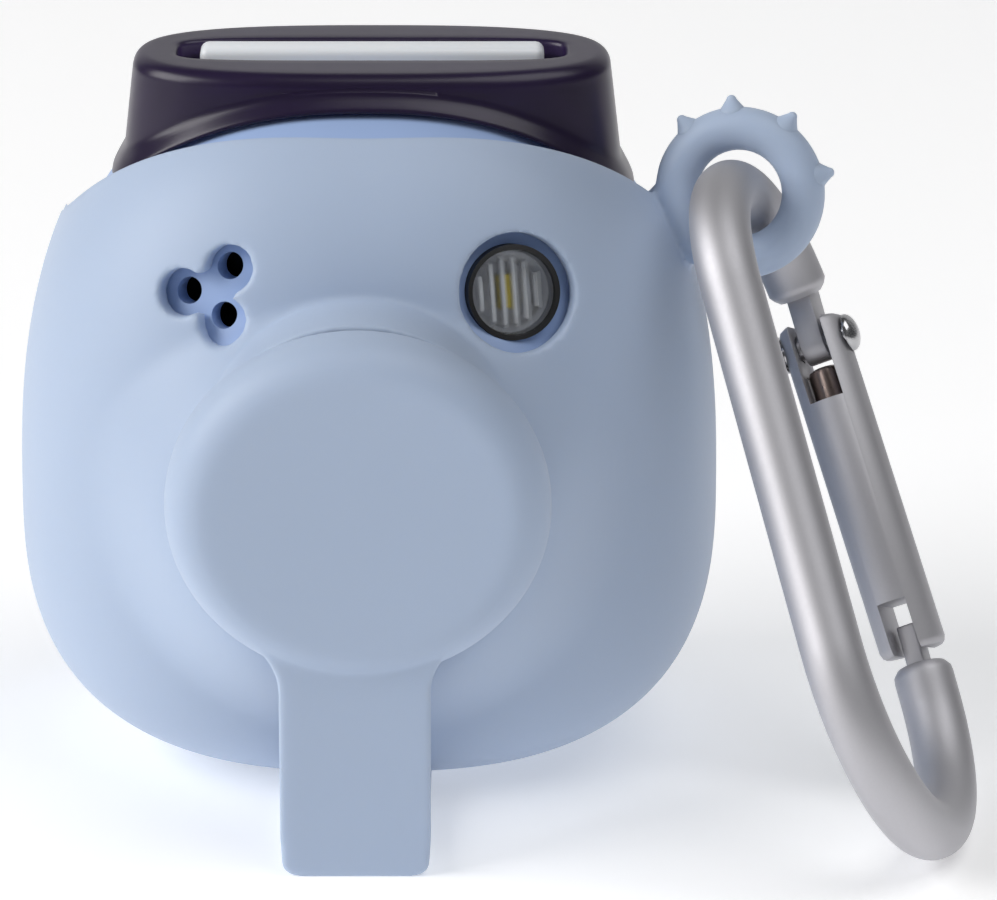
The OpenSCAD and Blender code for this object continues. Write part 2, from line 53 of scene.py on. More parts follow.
# bare camera
BODY_A, BODY_B = 21.25, 18.0         # half-width and half-depth
UP, DOWN = 27.0, 17.0                # reach above and below the waist
WAIST, FOOT = 17.8, 1.5
PLAN_E, LOW_E, DOME_E = 2.6, 2.7, 3.6  # exponents of the plan, below the waist, and of the dome's side
SHELL_T, SHELL_GAP = 1.4, 0.03       # wall of the shells, and half the gap at their joint
LENS = (-0.3, 24.4)                  # x, z of the lens axis
BOSS_H, BOSS_IN, BOSS_OUT = 4.2, 10.5, 17.5  # swelling round the lens: height, crown radius, outer radius
BOSS_DROP, BOSS_FLAT, BOSS_FADE = 1.9, 1.4, 1.6  # its middle's drop, shortening above, fading at the sides

# silicone case
CASE_OUT, CASE_IN = 1.5, 0.1         # its two skins over the bare camera
RIM = (19.6, 12.5)                   # half-axes of the opening in its top
RIM_Z, RIM_FALL = 35.75, math.radians(18.3)
COLLAR_R, COLLAR_Y = 10.6, (-23.5, -14)

# openings in the front of the case and of the front shell
CASE_LENS_R, CASE_FLASH_R, CASE_LOBE_R, CASE_MID_R = 9.9, 3.78, 1.52, 1.5
SHELL_LENS_R, SHELL_FLASH_R, SHELL_HOLE_R = 9.35, 3.05, 0.85

# openings for the controls: radius; half-width and half-height; half-width, reach down and up; radius
CASE_CUTS = {"button": 7.3, "key": 3.3, "slider": (3.3, 1.9), "port": (4.1, 9.2, 7.3), "nut": 4.2}
SHELL_CUTS = {"button": 6.6, "key": 2.8, "slider": (2.8, 1.4), "port": (3.8, 8.1, 7.0), "nut": 3.6}

# lug with its spikes
LOOP_AT = Vector((23.95, -4.7, 38.2))
LOOP_ROT = Euler((math.radians(-11), 0, math.radians(-13)), "XYZ").to_matrix()
LOOP_R, LOOP_T, LOOP_HOLE = 4.15, 1.4, 2.66
NECK_TOP, NECK_ROOT = Vector((21.2, -4.1, 35.7)), Vector((17.4, -3.0, 32.2))
NECK_R, NECK_GROWTH, NECK_STEPS = 1.35, 1.1, 10
SPIKES = ((16, 1.0), (58, 1.0), (98, 1.0), (132, 1.0), (185, 0.75))  # angle round the lug, relative height
SPIKE_R = 5.42                       # spikes stand on this radius
LIGHT_R = 0.85                       # light pipe at the rear

# speaker, controls and connectors
SPEAKER_HOLES = ((-0.12, -1.75), (-1.9, 0.8), (1.2, 0.75))
SPEAKER_LOBES = ((-0.11, -1.73), (-1.85, 1.24), (1.44, 1.15))
SPEAKER_MID = (-0.17, 0.22)
SHUTTER_Z, LIGHT_Z, SIDE_Z, SLIDE_Z = 19.0, 33.0, 20.0, 13.4
CTRL_Y, PORT_Y, PORT_Z, NUT_Y = 4.6, 4.1, 18.2, 5.2

# lens cap and its strap
CAP_A, CAP_B, CAP_X, CAP_Z = 12.0, 11.15, -0.25, 23.9
CAP_FRONT, CAP_BACK, CAP_ROUND, CAP_BORE = -28.1, -24.2, 2.7, 9.7
CAP_LIP, CAP_LIP_IN = 0.3, 0.025     # chamfer at the back edge: depth, and share of the half-width
STRAP_X, STRAP_W, STRAP_T = -0.5, 9.45, 1.5
STRAP_FRONT, STRAP_UNDER = CAP_FRONT + 0.8, -9.5
STRAP_DRAW, STRAP_DRAW_Z = 0.15, 2.5     # drawn in at the fold, below a height
STRAP_FLARE, STRAP_FLARE_Z = 1.1, (12.2, 2.7)  # flared over a height, and the stretch of it
FOLD_T, CORNER_R = 1.4, 1.1

# smoky ring and the rail in its slot
RING_X, RING_Y = 0.3, -0.7
RING_A, RING_B, RING_Z, RING_T, RING_E = 15.4, 7.1, 46.7, 1.2, 2.7
RING_LEAN_A, RING_LEAN_B, RING_LEAN_Z = 1.1, 1.4, 36  # spread of the skirt, and the height where it is full
SLOT_A, SLOT_B, SLOT_E = 12.5, 2.7, 4.5
FOOT_MIN, DOME_GAP = 36.95, 0.35     # lowest point of the ring, its clearance over the dome
EDGE_R, SLOT_ROUND, CEILING_ROUND, FLARE_H = 1.05, 0.3, 0.5, 1.25

# carabiner, in its own plane: X along its width, Z along its length, its rod's top at Z = 0
CLIP_AT = Vector((24.0, -4.75, 38.15))
CLIP_ROT = Euler([math.radians(v) for v in (-26.6, 27.5, 66.3)], "XYZ").to_matrix()
TOP_R, LOW_R, CLIP_L, ROD_R = 8.45, 10.3, 42.9, 1.95
PIVOT = Vector((8.5, 0, -8.6))
TONGUE_R, TONGUE_T = 1.3, 1.6
GATE_R, GATE_L, GATE_LEAN = 2.2, 21.1, math.radians(8.2)
FORK_HALF, FORK_DEPTH, PIN_HOLE, SPRING_BORE = 1.15, 3.9, 0.9, 1.3
NOSE_HALF, NOSE_SLOT_HALF, NOSE_SLOT_L = 0.62, 0.95, 3.4
RIVET_R, RIVET_HEAD = 0.82, 1.25
COIL_R, COIL_WIRE, COIL_TURNS = 0.86, 0.2, 7
COIL_LOW, COIL_L = -13.5, 7.1

# view of the closing picture
ELEVATION, DISTANCE = math.radians(18), 430.0
FIELD, SENSOR = 65.5921, 36          # width seen at the target, width of the camera's sensor
TARGET = Vector((8.454, 0, 19.301))


def facing(at, up, out):
    """Matrix of a frame whose Z points out of the rounded front."""
    turn = Euler((0, math.radians(90 - up), math.radians(out - 90)), "XYZ").to_matrix().to_4x4()
    return Matrix.Translation(Vector(at) * MM) @ turn


FLASH_AT = facing((9.8, -16.8, 35.1), 14, 17.5)
SPEAKER_AT = facing((-9.9, -16.8, 34.8), 10, -19)
LOOP_FRAME = Matrix.Translation(LOOP_AT * MM) @ LOOP_ROT.to_4x4()
CLIP_FRAME = Matrix.Translation(CLIP_AT * MM) @ CLIP_ROT.to_4x4()
GATE_FRAME = CLIP_FRAME @ Matrix.Translation(PIVOT * MM) @ Euler((0, -GATE_LEAN, 0)).to_matrix().to_4x4()


# ================================================================ mesh helpers
def make(name, verts, faces, smooth=True):
    """New mesh object from points in mm."""
    me = bpy.data.meshes.new(name)
    me.from_pydata([tuple(float(c) * MM for c in v) for v in verts], [], faces)
    me.validate()
    me.update()
    for p in me.polygons:
        p.use_smooth = smooth
    ob = bpy.data.objects.new(name, me)
    scene.collection.objects.link(ob)
    return ob


def outward(ob):
    """Makes every face of a closed mesh look outward."""
    bm = bmesh.new()
    bm.from_mesh(ob.data)
    bmesh.ops.recalc_face_normals(bm, faces=bm.faces)
    bm.to_mesh(ob.data)
    bm.free()
    return ob


def bake(ob):
    """Applies all modifiers of ob."""
    deps = bpy.context.evaluated_depsgraph_get()
    me = bpy.data.meshes.new_from_object(ob.evaluated_get(deps), depsgraph=deps)
    old = ob.data
    ob.modifiers.clear()
    ob.data = me
    me.name = ob.name
    if old.users == 0:
        bpy.data.meshes.remove(old)
    return ob


def drop(*obs):
    """Deletes objects with their meshes."""
    for ob in obs:
        me = ob.data
        bpy.data.objects.remove(ob, do_unlink=True)
        if me.users == 0:
            bpy.data.meshes.remove(me)


def combine(ob, other, how="DIFFERENCE"):
    """Cuts, adds or intersects ob with other, which is used up."""
    m = ob.modifiers.new("combine", "BOOLEAN")
    m.operation = how
    m.solver = "MANIFOLD"
    m.object = other
    bake(ob)
    drop(other)
    return ob


def joined(name, parts):
    """One object out of several, which are used up."""
    bm = bmesh.new()
    for p in parts:
        me = p.data.copy()
        me.transform(p.matrix_world)
        bm.from_mesh(me)
        bpy.data.meshes.remove(me)
    me = bpy.data.meshes.new(name)
    bm.to_mesh(me)
    bm.free()
    drop(*parts)
    ob = bpy.data.objects.new(name, me)
    scene.collection.objects.link(ob)
    return ob


def placed(ob, matrix):
    """Moves the mesh itself by a matrix given in metres."""
    ob.data.transform(matrix)
    return ob


def shade(ob, angle=32):
    """Smooth faces with sharp edges over an angle in degrees."""
    for p in ob.data.polygons:
        p.use_smooth = True
    ob.data.set_sharp_from_angle(angle=math.radians(angle))
    return ob


def remesh(ob, voxel, smooth):
    """Melts a solid into one soft skin of even quads."""
    r = ob.modifiers.new("remesh", "REMESH")
    r.mode = "VOXEL"
    r.voxel_size = voxel * MM
    r.use_smooth_shade = True
    s = ob.modifiers.new("smooth", "SMOOTH")
    s.factor = 0.5
    s.iterations = smooth
    bake(ob)
    for p in ob.data.polygons:
        p.use_smooth = True
    return ob


def bevel(ob, width, segments=2, angle=30):
    """Rounds the edges that are sharper than an angle in degrees."""
    b = ob.modifiers.new("bevel", "BEVEL")
    b.width = width * MM
    b.segments = segments
    b.limit_method = "ANGLE"
    b.angle_limit = math.radians(angle)
    b.use_clamp_overlap = True
    bake(ob)
    return ob


def on_axis(axis, a, b, h):
    """Point at h along an axis; a and b are its two other coordinates, in order."""
    return {"X": (h, a, b), "Y": (a, h, b), "Z": (a, b, h)}[axis]


def skin(n, m, closed=False):
    """Quads between m rows of n points each, and between the last row and the first when closed."""
    f = []
    for k in range(m if closed else m - 1):
        k2 = (k + 1) % m
        for i in range(n):
            j = (i + 1) % n
            f.append((k * n + i, k * n + j, k2 * n + j, k2 * n + i))
    return f


def loft(name, rows, closed=False, smooth=True):
    """Solid over rows of points, with flat ends unless closed."""
    n, m = len(rows[0]), len(rows)
    f = skin(n, m, closed)
    if not closed:
        f += [tuple(range(n - 1, -1, -1)), tuple(range((m - 1) * n, m * n))]
    return outward(make(name, [p for row in rows for p in row], f, smooth))


def prism(name, outline, h0, h1, axis):
    """Straight solid with an outline, between two places along an axis."""
    return loft(name, [[on_axis(axis, a, b, h) for a, b in outline] for h in (h0, h1)], smooth=False)


def tube(name, r, h0, h1, axis="Z", at=(0, 0), n=96):
    """Cylinder between two places along an axis; at gives the two other coordinates."""
    turns = [2 * math.pi * i / n for i in range(n)]
    return prism(name, [(at[0] + r * math.cos(t), at[1] + r * math.sin(t)) for t in turns], h0, h1, axis)


def box(name, a, b):
    """Block between two opposite corners."""
    v = [(x, y, z) for x in (a[0], b[0]) for y in (a[1], b[1]) for z in (a[2], b[2])]
    f = [(0, 1, 3, 2), (4, 6, 7, 5), (0, 4, 5, 1), (2, 3, 7, 6), (0, 2, 6, 4), (1, 5, 7, 3)]
    return outward(make(name, v, f, False))


def lathe(name, profile, axis="Y", at=(0, 0), n=128):
    """Solid of revolution. profile is (radius, height) pairs from axis to axis, or a closed loop."""
    zero = 1e-6
    closed = profile[0][0] > zero or profile[-1][0] > zero
    v, f, rows = [], [], []
    for r, h in profile:
        if r < zero:
            rows.append([len(v)] * n)
            v.append((0, 0, h))
            continue
        rows.append(list(range(len(v), len(v) + n)))
        v += [(r * math.cos(2 * math.pi * i / n), r * math.sin(2 * math.pi * i / n), h) for i in range(n)]
    m = len(rows)
    for k in range(m if closed else m - 1):
        a, b = rows[k], rows[(k + 1) % m]
        for i in range(n):
            j = (i + 1) % n
            corners = tuple(dict.fromkeys((a[i], a[j], b[j], b[i])))
            if len(corners) > 2:
                f.append(corners)
    return outward(make(name, [on_axis(axis, at[0] + x, at[1] + y, h) for x, y, h in v], f))


def arc(cx, cy, r, a0, a1, n=8):
    """Points of an arc, angles in degrees."""
    turns = [math.radians(a0 + (a1 - a0) * i / n) for i in range(n + 1)]
    return [(cx + r * math.cos(t), cy + r * math.sin(t)) for t in turns]


def sweep(name, path, radii, n=48):
    """Round rod along a path of points, with one radius per point."""
    pts = [Vector(p) for p in path]
    last = len(pts) - 1
    tangents = [(pts[min(i + 1, last)] - pts[max(i - 1, 0)]).normalized() for i in range(last + 1)]
    side = Vector((0, 1, 0)) if abs(tangents[0].y) < 0.9 else Vector((1, 0, 0))
    rows = []
    for p, tangent, r in zip(pts, tangents, radii):
        side = (side - side.dot(tangent) * tangent).normalized()
        other = tangent.cross(side)
        turns = [2 * math.pi * k / n for k in range(n)]
        rows.append([p + r * (math.cos(t) * side + math.sin(t) * other) for t in turns])
    return loft(name, rows)


def torus(name, mid, r, rot, at, n=120, m=40):
    """Ring round the Y axis, then turned and moved."""
    rows = []
    for i in range(n):
        a = 2 * math.pi * i / n
        row = []
        for k in range(m):
            b = 2 * math.pi * k / m
            reach = mid + r * math.cos(b)
            row.append(rot @ Vector((reach * math.cos(a), r * math.sin(b), reach * math.sin(a))) + at)
        rows.append(row)
    return loft(name, rows, closed=True)


# ================================================================ the pillow form
def spow(v, e):
    """Power that keeps the sign."""
    return np.sign(v) * np.abs(v) ** e


def superellipse(e, n):
    """Points of a unit superellipse with an exponent, as two arrays."""
    t = 2 * np.pi * np.arange(n) / n
    return spow(np.cos(t), 2 / e), spow(np.sin(t), 2 / e)


def swell(x, z):
    """Share of the swelling round the lens, 1 at its crown and 0 outside it."""
    dz = z - LENS[1] + BOSS_DROP
    r = np.hypot(x - LENS[0], np.where(dz > 0, BOSS_FLAT * dz, dz))
    t = np.clip((r - BOSS_IN) / (BOSS_OUT - BOSS_IN), 0, 1)
    return (1 + np.cos(np.pi * t)) / 2


def pillow(name, g, around=192, levels=110):
    """The soft body grown by g mm, flat at its foot."""
    up, down, foot = UP + g, DOWN + g, FOOT - g
    hw, hd = BODY_A + g, BODY_B + g
    low = math.asin(((WAIST - foot) / down) ** (LOW_E / 2))
    high = math.radians(89)
    cx, cy = superellipse(PLAN_E, around)
    v = []
    for j in range(levels + 1):
        s = -low + (low + high) * j / levels
        e = PLAN_E if s > 0 else LOW_E
        r = math.cos(s) ** (2 / e)
        ry = math.cos(s) ** (2 / DOME_E) if s > 0 else r
        z = WAIST + (up if s > 0 else down) * float(spow(math.sin(s), 2 / e))
        x, y = hw * r * cx, hd * ry * cy
        y = y - np.where(y < 0, BOSS_H * swell(x, z) * np.minimum(1, -y / hd * BOSS_FADE), 0)
        v += [(x[i], y[i], z) for i in range(around)]
    foot_mid, crown = len(v), len(v) + 1
    v += [(0, 0, foot), (0, 0, WAIST + up)]
    f = skin(around, levels + 1)
    for i in range(around):
        k = (i + 1) % around
        f.append((k, i, foot_mid))
        f.append((levels * around + i, levels * around + k, crown))
    return outward(make(name, v, f))


def dome_z(x, y, g):
    """Height of the body grown by g over a point of the plan, found by halving."""
    px, py = (np.abs(x) / (BODY_A + g)) ** PLAN_E, (np.abs(y) / (BODY_B + g)) ** PLAN_E
    lo, hi = np.full_like(px, 1e-4), np.ones_like(px)
    for _ in range(40):
        c = (lo + hi) / 2
        inside = px * c ** -2 + py * c ** (-2 * PLAN_E / DOME_E) < 1
        hi, lo = np.where(inside, c, hi), np.where(inside, lo, c)
    return WAIST + (UP + g) * (1 - hi ** 2) ** (1 / PLAN_E)


# ================================================================ materials
def noise(nt, coords, scale, detail):
    """Noise node over the object's own coordinates."""
    n = nt.nodes.new("ShaderNodeTexNoise")
    n.inputs["Scale"].default_value = scale
    n.inputs["Detail"].default_value = detail
    nt.links.new(coords.outputs["Object"], n.inputs["Vector"])
    return n


def spread(nt, source, low, high):
    """Maps a noise node's value to a range."""
    n = nt.nodes.new("ShaderNodeMapRange")
    n.inputs["To Min"].default_value = low
    n.inputs["To Max"].default_value = high
    nt.links.new(source.outputs["Fac"], n.inputs["Value"])
    return n


def material(name, color, rough=0.5, metal=0.0, drift=0.03, drift_scale=90, rough_var=0.06,
             bump=0.1, bump_mm=0.02, grain_scale=2600, sss_scale=0.0012, **shader):
    """Finish with a broad colour drift and a fine grain in roughness and height."""
    m = bpy.data.materials.new(name)
    m.use_nodes = True
    nt = m.node_tree
    b = nt.nodes["Principled BSDF"]
    b.inputs["Metallic"].default_value = metal
    sockets = {"spec": "Specular IOR Level", "ior": "IOR", "sss": "Subsurface Weight",
               "sheen": "Sheen Weight", "coat": "Coat Weight", "trans": "Transmission Weight",
               "alpha": "Alpha"}
    for key, value in shader.items():
        b.inputs[sockets[key]].default_value = value
    if "sss" in shader:
        b.inputs["Subsurface Radius"].default_value = (1.0, 0.85, 0.75)
        b.inputs["Subsurface Scale"].default_value = sss_scale
    coords = nt.nodes.new("ShaderNodeTexCoord")

    broad = noise(nt, coords, drift_scale, 3)
    mix = nt.nodes.new("ShaderNodeMix")
    mix.data_type = "RGBA"
    mix.inputs["A"].default_value = tuple(c * (1 - drift) for c in color) + (1,)
    mix.inputs["B"].default_value = tuple(min(1, c * (1 + drift)) for c in color) + (1,)
    nt.links.new(spread(nt, broad, 0.0, 1.0).outputs["Result"], mix.inputs["Factor"])
    nt.links.new(mix.outputs["Result"], b.inputs["Base Color"])

    grain = noise(nt, coords, grain_scale, 4)
    grain_rough = spread(nt, grain, max(0.0, rough - rough_var), min(1.0, rough + rough_var))
    nt.links.new(grain_rough.outputs["Result"], b.inputs["Roughness"])
    if bump > 0:
        relief = nt.nodes.new("ShaderNodeBump")
        relief.inputs["Strength"].default_value = bump
        relief.inputs["Distance"].default_value = bump_mm * MM
        nt.links.new(grain.outputs["Fac"], relief.inputs["Height"])
        nt.links.new(relief.outputs["Normal"], b.inputs["Normal"])
    return m


def srgb(r, g, b):
    """Linear colour from three display values of 0 to 255."""
    return tuple(((c / 255 + 0.055) / 1.055) ** 2.4 if c > 10 else c / 255 / 12.92 for c in (r, g, b))


M_SILICONE = material("silicone_blue", srgb(176, 192, 216), 0.5, sss=0.25, sss_scale=0.0016, spec=0.4,
                      sheen=0.08, drift=0.02, bump=0.12, bump_mm=0.015, grain_scale=3200)
M_COVER = material("shell_blue", srgb(164, 188, 230), 0.42, spec=0.45, drift=0.02, bump=0.12,
                   bump_mm=0.012, grain_scale=3800)
M_RAIL = material("rail_pale", srgb(242, 246, 251), 0.35, sss=0.1, sss_scale=0.001, drift=0.015, bump=0.05)
M_SMOKE = material("smoke_purple", srgb(52, 38, 76), 0.3, ior=1.49, spec=0.25, trans=0.6, drift=0.03,
                   bump=0.02, rough_var=0.03, grain_scale=900)
# ribs inside the ring: purple made lighter than the ring's smoke, painted light that stands in for light
# shining through the ring onto them
M_TAB_PAINTED_LIGHT = material("inner_rib_purple_painted_light", srgb(150, 122, 200), 0.4, drift=0.03, bump=0.05)
M_ALU = material("satin_aluminium", srgb(196, 195, 199), 0.57, 0.92, drift=0.03, bump=0.35, bump_mm=0.01,
                 grain_scale=5200, rough_var=0.05)
M_STEEL = material("bright_steel", srgb(190, 190, 192), 0.22, 1.0, drift=0.03, bump=0.1)
M_SPRING = material("brown_steel", srgb(132, 118, 112), 0.3, 1.0, drift=0.06, bump=0.15)
M_BLACK = material("black_plastic", srgb(22, 22, 24), 0.45, drift=0.1, bump=0.2)
M_DEEP = material("speaker_black", srgb(2, 2, 3), 0.85, spec=0.15, drift=0.1, bump=0.2)
M_GLASS = material("clear_window", srgb(235, 240, 245), 0.06, trans=1.0, ior=1.45, alpha=0.4, drift=0.0,
                   bump=0.0, rough_var=0.02)
M_LENS = material("coated_glass", srgb(60, 52, 92), 0.06, trans=0.6, ior=1.6, drift=0.05, bump=0.0,
                  rough_var=0.02, coat=0.5)
M_RIB = material("ribbed_white", srgb(244, 245, 247), 0.3, sss=0.1, drift=0.02, bump=0.05)
M_REFL = material("reflector_grey", srgb(205, 207, 214), 0.35, 0.1, drift=0.05, bump=0.05)
M_LED = material("led_yellow", srgb(236, 216, 110), 0.35, drift=0.08, bump=0.1)
M_PCB = material("board_green", srgb(20, 84, 58), 0.4, drift=0.12, bump=0.25, grain_scale=700,
                 drift_scale=900)
M_CHIP = material("chip_black", srgb(30, 30, 33), 0.5, drift=0.08, bump=0.2)
M_FLEX = material("flex_amber", srgb(196, 132, 50), 0.35, drift=0.08, bump=0.1)
M_FOIL = material("battery_foil", srgb(196, 198, 202), 0.33, 0.8, drift=0.05, bump=0.5, bump_mm=0.05,
                  grain_scale=500)
M_BRASS = material("brass", srgb(206, 172, 102), 0.3, 1.0, drift=0.06, bump=0.12)
M_BUTTON = material("button_blue", srgb(186, 202, 226), 0.38, drift=0.02, bump=0.1, grain_scale=3600)
M_LIGHT = material("light_pipe", srgb(214, 230, 216), 0.2, trans=0.4, drift=0.02, bump=0.03)


def paint(ob, mat):
    """Gives a piece one material."""
    ob.data.materials.clear()
    ob.data.materials.append(mat)
    return ob


def put(ob, mat, body, *nodes, slot):
    """Gives a finished piece its material, its body and the CAD nodes it stands for."""
    paint(ob, mat)
    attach(ob, body)
    if nodes:
        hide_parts(*nodes)
    return ob


# ================================================================ silicone case
def rim_cutters():
    """The opening of the top, and the space behind it over a plane that falls to the rear."""
    cx, cy = superellipse(2.0, 160)
    yield prism("rim", list(zip(RIM[0] * cx, RIM[1] * cy)), 30, 60, "Z")
    far = 40
    fall = [(0, RIM_Z), (far, RIM_Z - far * math.tan(RIM_FALL)), (far, 60), (0, 60)]
    yield prism("rear", fall, -far, far, "X")


def cut_controls(ob, cuts):
    """Openings for the rear button, the side key, the slider, the port flap and the tripod nut."""
    combine(ob, tube("button", cuts["button"], 8, 30, "Y", (0, SHUTTER_Z)))
    combine(ob, tube("key", cuts["key"], 10, 30, "X", (CTRL_Y, SIDE_Z)))
    half, tall = cuts["slider"]
    combine(ob, box("slider", (10, CTRL_Y - half, SLIDE_Z - tall), (30, CTRL_Y + half, SLIDE_Z + tall)))
    half, down, up = cuts["port"]
    combine(ob, box("port", (-30, PORT_Y - half, PORT_Z - down), (-10, PORT_Y + half, PORT_Z + up)))
    combine(ob, tube("nut", cuts["nut"], -5, 7, "Z", (0, NUT_Y)))


def build_case():
    case = pillow("case_skin", CASE_OUT)
    # lug: fat ring and a neck that melts into the shoulder
    combine(case, torus("lug", LOOP_R, LOOP_T, LOOP_ROT, LOOP_AT), "UNION")
    shares = [k / NECK_STEPS for k in range(NECK_STEPS + 1)]
    route = [NECK_TOP.lerp(NECK_ROOT, t) for t in shares]
    neck = sweep("neck", route, [NECK_R + NECK_GROWTH * t for t in shares])
    combine(case, neck, "UNION")
    combine(case, placed(tube("lug_hole", LOOP_HOLE, -10, 10, "Y"), LOOP_FRAME))
    # hollow body with a collar round the lens
    combine(case, tube("collar", COLLAR_R, *COLLAR_Y, "Y", LENS), "UNION")
    combine(case, pillow("inside", CASE_IN, 160, 90))
    combine(case, tube("lens", CASE_LENS_R, -40, -10, "Y", LENS))
    combine(case, placed(tube("flash", CASE_FLASH_R, -7, 4), FLASH_AT))
    for lobe in SPEAKER_LOBES:
        combine(case, placed(tube("lobe", CASE_LOBE_R, -7, 4, "Z", lobe), SPEAKER_AT))
    combine(case, placed(tube("middle", CASE_MID_R, -7, 4, "Z", SPEAKER_MID), SPEAKER_AT))
    cut_controls(case, CASE_CUTS)
    remesh(case, 0.2, 8)
    # the rim is cut last, so that its thin edge stays clean
    for cutter in rim_cutters():
        combine(case, cutter)
    return shade(case, 45)


put(build_case(), M_SILICONE, "camera", "silicone_case", "carabiner_loop", slot="silicone")


def build_spikes():
    parts = []
    for a, tall in SPIKES:
        prof = [(0.0, -0.7), (1.05, -0.6), (0.92, -0.12), (0.74, 0.08), (0.58, 0.28), (0.42, 0.5)]
        prof += arc(0.0, 0.56, 0.33, 12, 90, 6)
        spike = lathe("spike", [(r, h * tall) for r, h in prof], "Z", n=32)
        lay = Euler((0, math.radians(90), 0)).to_matrix()
        around = LOOP_ROT @ Euler((0, math.radians(-a), 0)).to_matrix()
        at = LOOP_AT + around @ Vector((SPIKE_R, 0, 0))
        parts.append(placed(spike, Matrix.Translation(at * MM) @ (around @ lay).to_4x4()))
    return shade(joined("lug_spikes", parts), 50)


put(build_spikes(), M_SILICONE, "camera", slot="silicone")


# ================================================================ lens cap, strap and fold in one moulding
def build_cap_disc():
    """Oval cap with a rounded face, hollow behind."""
    turns = [math.radians(a) for a in range(0, 91, 6)]
    prof = [(0, 0)]
    prof += [(1 - CAP_ROUND / CAP_A * (1 - math.sin(t)), CAP_ROUND * (1 - math.cos(t))) for t in turns]
    back = CAP_BACK - CAP_FRONT
    prof += [(1, back - CAP_LIP), (1 - CAP_LIP_IN, back), (0, back)]
    cap = lathe("cap_and_strap", prof, n=192)
    place = Matrix.Translation(Vector((CAP_X, CAP_FRONT, CAP_Z)) * MM)
    placed(cap, place @ Matrix.Diagonal((CAP_A, 1, CAP_B, 1)))
    return combine(cap, tube("bore", CAP_BORE, CAP_BACK - 1.5, CAP_BACK + 3, "Y", LENS))


def strap_half(z):
    """Half-width of the strap at a height: drawn in at the fold, flared where it meets the cap."""
    start, stretch = STRAP_FLARE_Z
    narrow = STRAP_DRAW * max(0.0, (STRAP_DRAW_Z - z) / STRAP_DRAW_Z)
    flare = STRAP_FLARE * max(0.0, (z - start) / stretch) ** 2
    return STRAP_W / 2 + flare - narrow


def build_strap():
    """Upright strip, and the part that folds back under the case, with rounded lower corners."""
    y0, y1 = STRAP_FRONT, STRAP_FRONT + STRAP_T
    top, steps = CAP_Z - CAP_B + 2.4, 24
    rows = []
    for k in range(steps + 1):
        z = top * k / steps
        x0, x1 = STRAP_X - strap_half(z), STRAP_X + strap_half(z)
        rows.append([(x0, y0, z), (x1, y0, z), (x1, y1, z), (x0, y1, z)])
    strap = loft("strap", rows, smooth=False)
    x0, x1 = STRAP_X - STRAP_W / 2, STRAP_X + STRAP_W / 2
    combine(strap, box("under", (x0 + 0.12, y0 + 0.02, 0.0), (x1 - 0.12, STRAP_UNDER, FOLD_T)), "UNION")
    r, wide, tall = CORNER_R, 3, 40
    edge = arc(x1 - r, r, r, -90, 0) + [(x1, 2.0), (x1 + wide, 2.01), (x1 + wide, tall)]
    edge += [(x0 - wide, tall), (x0 - wide, 2.01), (x0, 2.0)] + arc(x0 + r, r, r, 180, 270)
    return combine(strap, prism("corners", edge, -35, 0, "Y"), "INTERSECT")


def build_cap():
    cap = build_cap_disc()
    combine(cap, build_strap(), "UNION")
    remesh(cap, 0.2, 6)
    paint(cap, M_SILICONE)
    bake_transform(cap)
    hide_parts("lens_cap", "cap_strap", "strap_root")


build_cap()


# ================================================================ camera shells
def build_shell(name, y0, y1):
    """Wall of the camera without the half between two places front to back."""
    shell = pillow(name, 0.0, 176, 100)
    combine(shell, pillow("inside", -SHELL_T, 128, 70))
    return combine(shell, box("half", (-40, y0, -5), (40, y1, 60)))


def build_front():
    shell = build_shell("front_shell", SHELL_GAP, 60)
    combine(shell, tube("lens", SHELL_LENS_R, -40, -10, "Y", LENS))
    combine(shell, placed(tube("flash", SHELL_FLASH_R, -12, 4), FLASH_AT))
    for hole in SPEAKER_HOLES:
        combine(shell, placed(tube("hole", SHELL_HOLE_R, -7, 4, "Z", hole, 48), SPEAKER_AT))
    return shade(shell, 35)


def build_rear():
    shell = build_shell("rear_shell", -60, -SHELL_GAP)
    combine(shell, tube("light", LIGHT_R, 8, 30, "Y", (0, LIGHT_Z), 32))
    cut_controls(shell, SHELL_CUTS)
    return shade(shell, 35)


put(build_front(), M_COVER, "camera", "front_cover", slot="cover")
put(build_rear(), M_COVER, "camera", "rear_cover", slot="cover")


